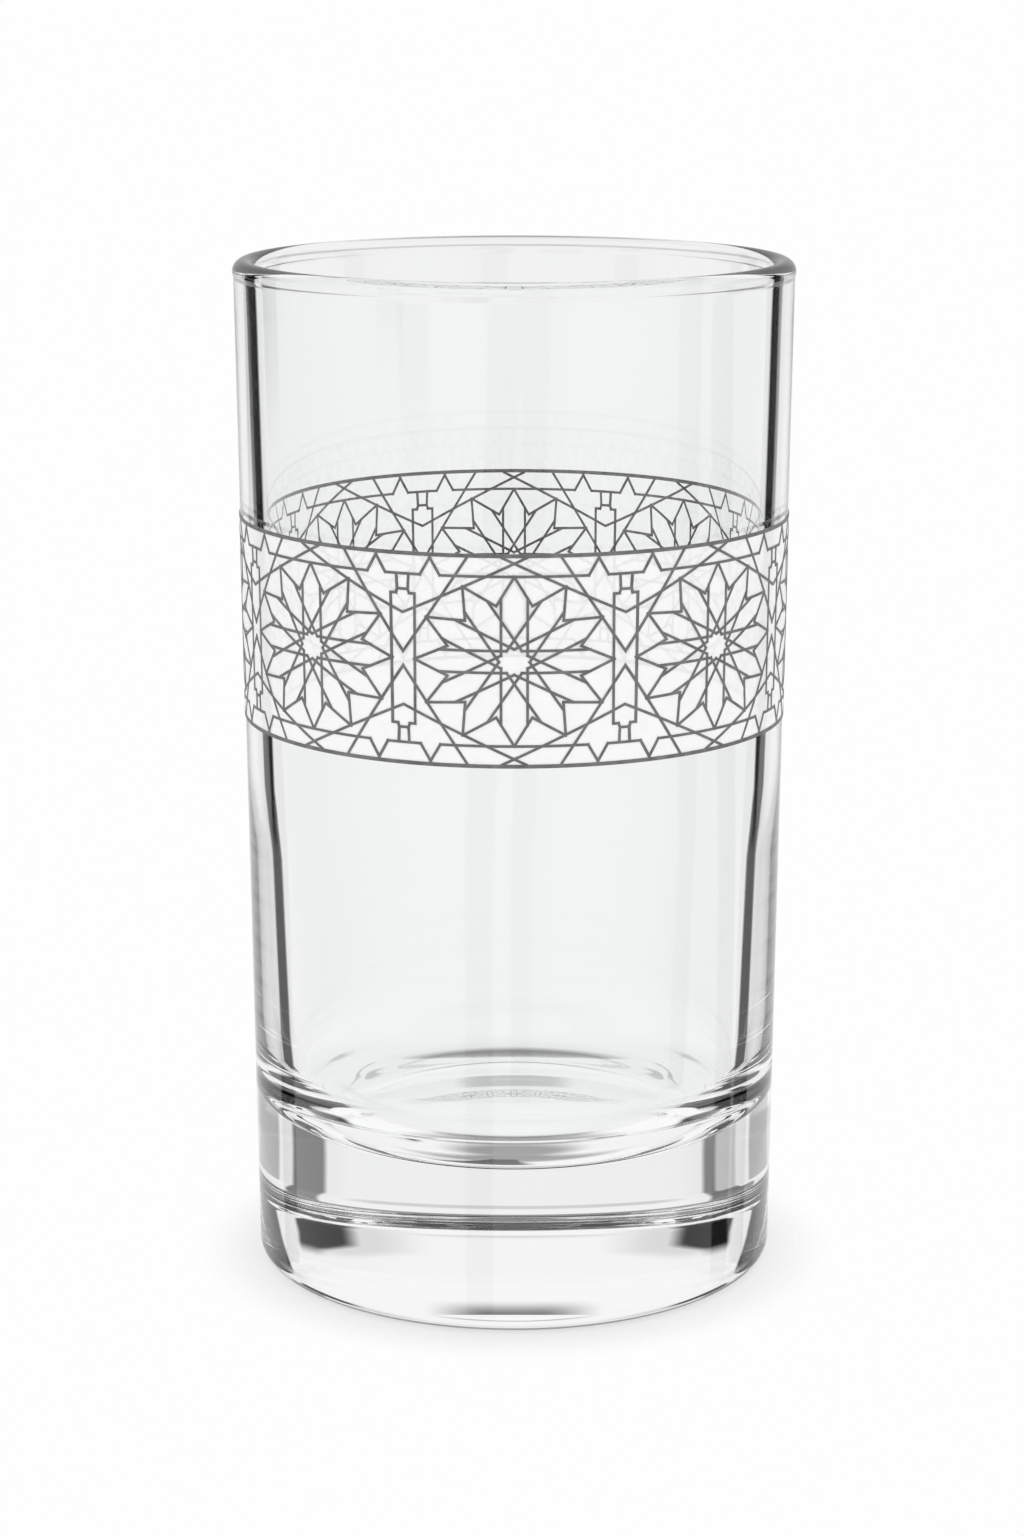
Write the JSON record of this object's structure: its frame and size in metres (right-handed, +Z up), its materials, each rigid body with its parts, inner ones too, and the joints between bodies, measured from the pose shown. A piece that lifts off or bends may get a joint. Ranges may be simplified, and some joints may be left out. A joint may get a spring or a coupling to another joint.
{
  "type": "moroccan tea glass",
  "caption": "Clear, slightly tapered tea glass with a rounded lip, a heavy base and a grey printed band of twelve-point rosettes.",
  "frame": {"origin": "on the glass's axis, in the plane that it stands on", "axes": "+Z up along the axis towards the rim; -Y towards the front rosette; +X to the right as seen from the front"},
  "size_m": [0.0542, 0.0542, 0.1],
  "materials": {
    "glass": "clear, smooth and glossy",
    "ground": "pale translucent ground, matt",
    "print": "thin grey fired enamel print, satin"
  },
  "bodies": {
    "root": {"glass_body": "glass", "band_ground": "ground", "upper_rule": "print", "lower_rule": "print", "border_lines": "print", "column_lines": "print", "strap_lines": "print", "petal_sides": "print", "petal_points": "print"}
  },
  "joints": []
}
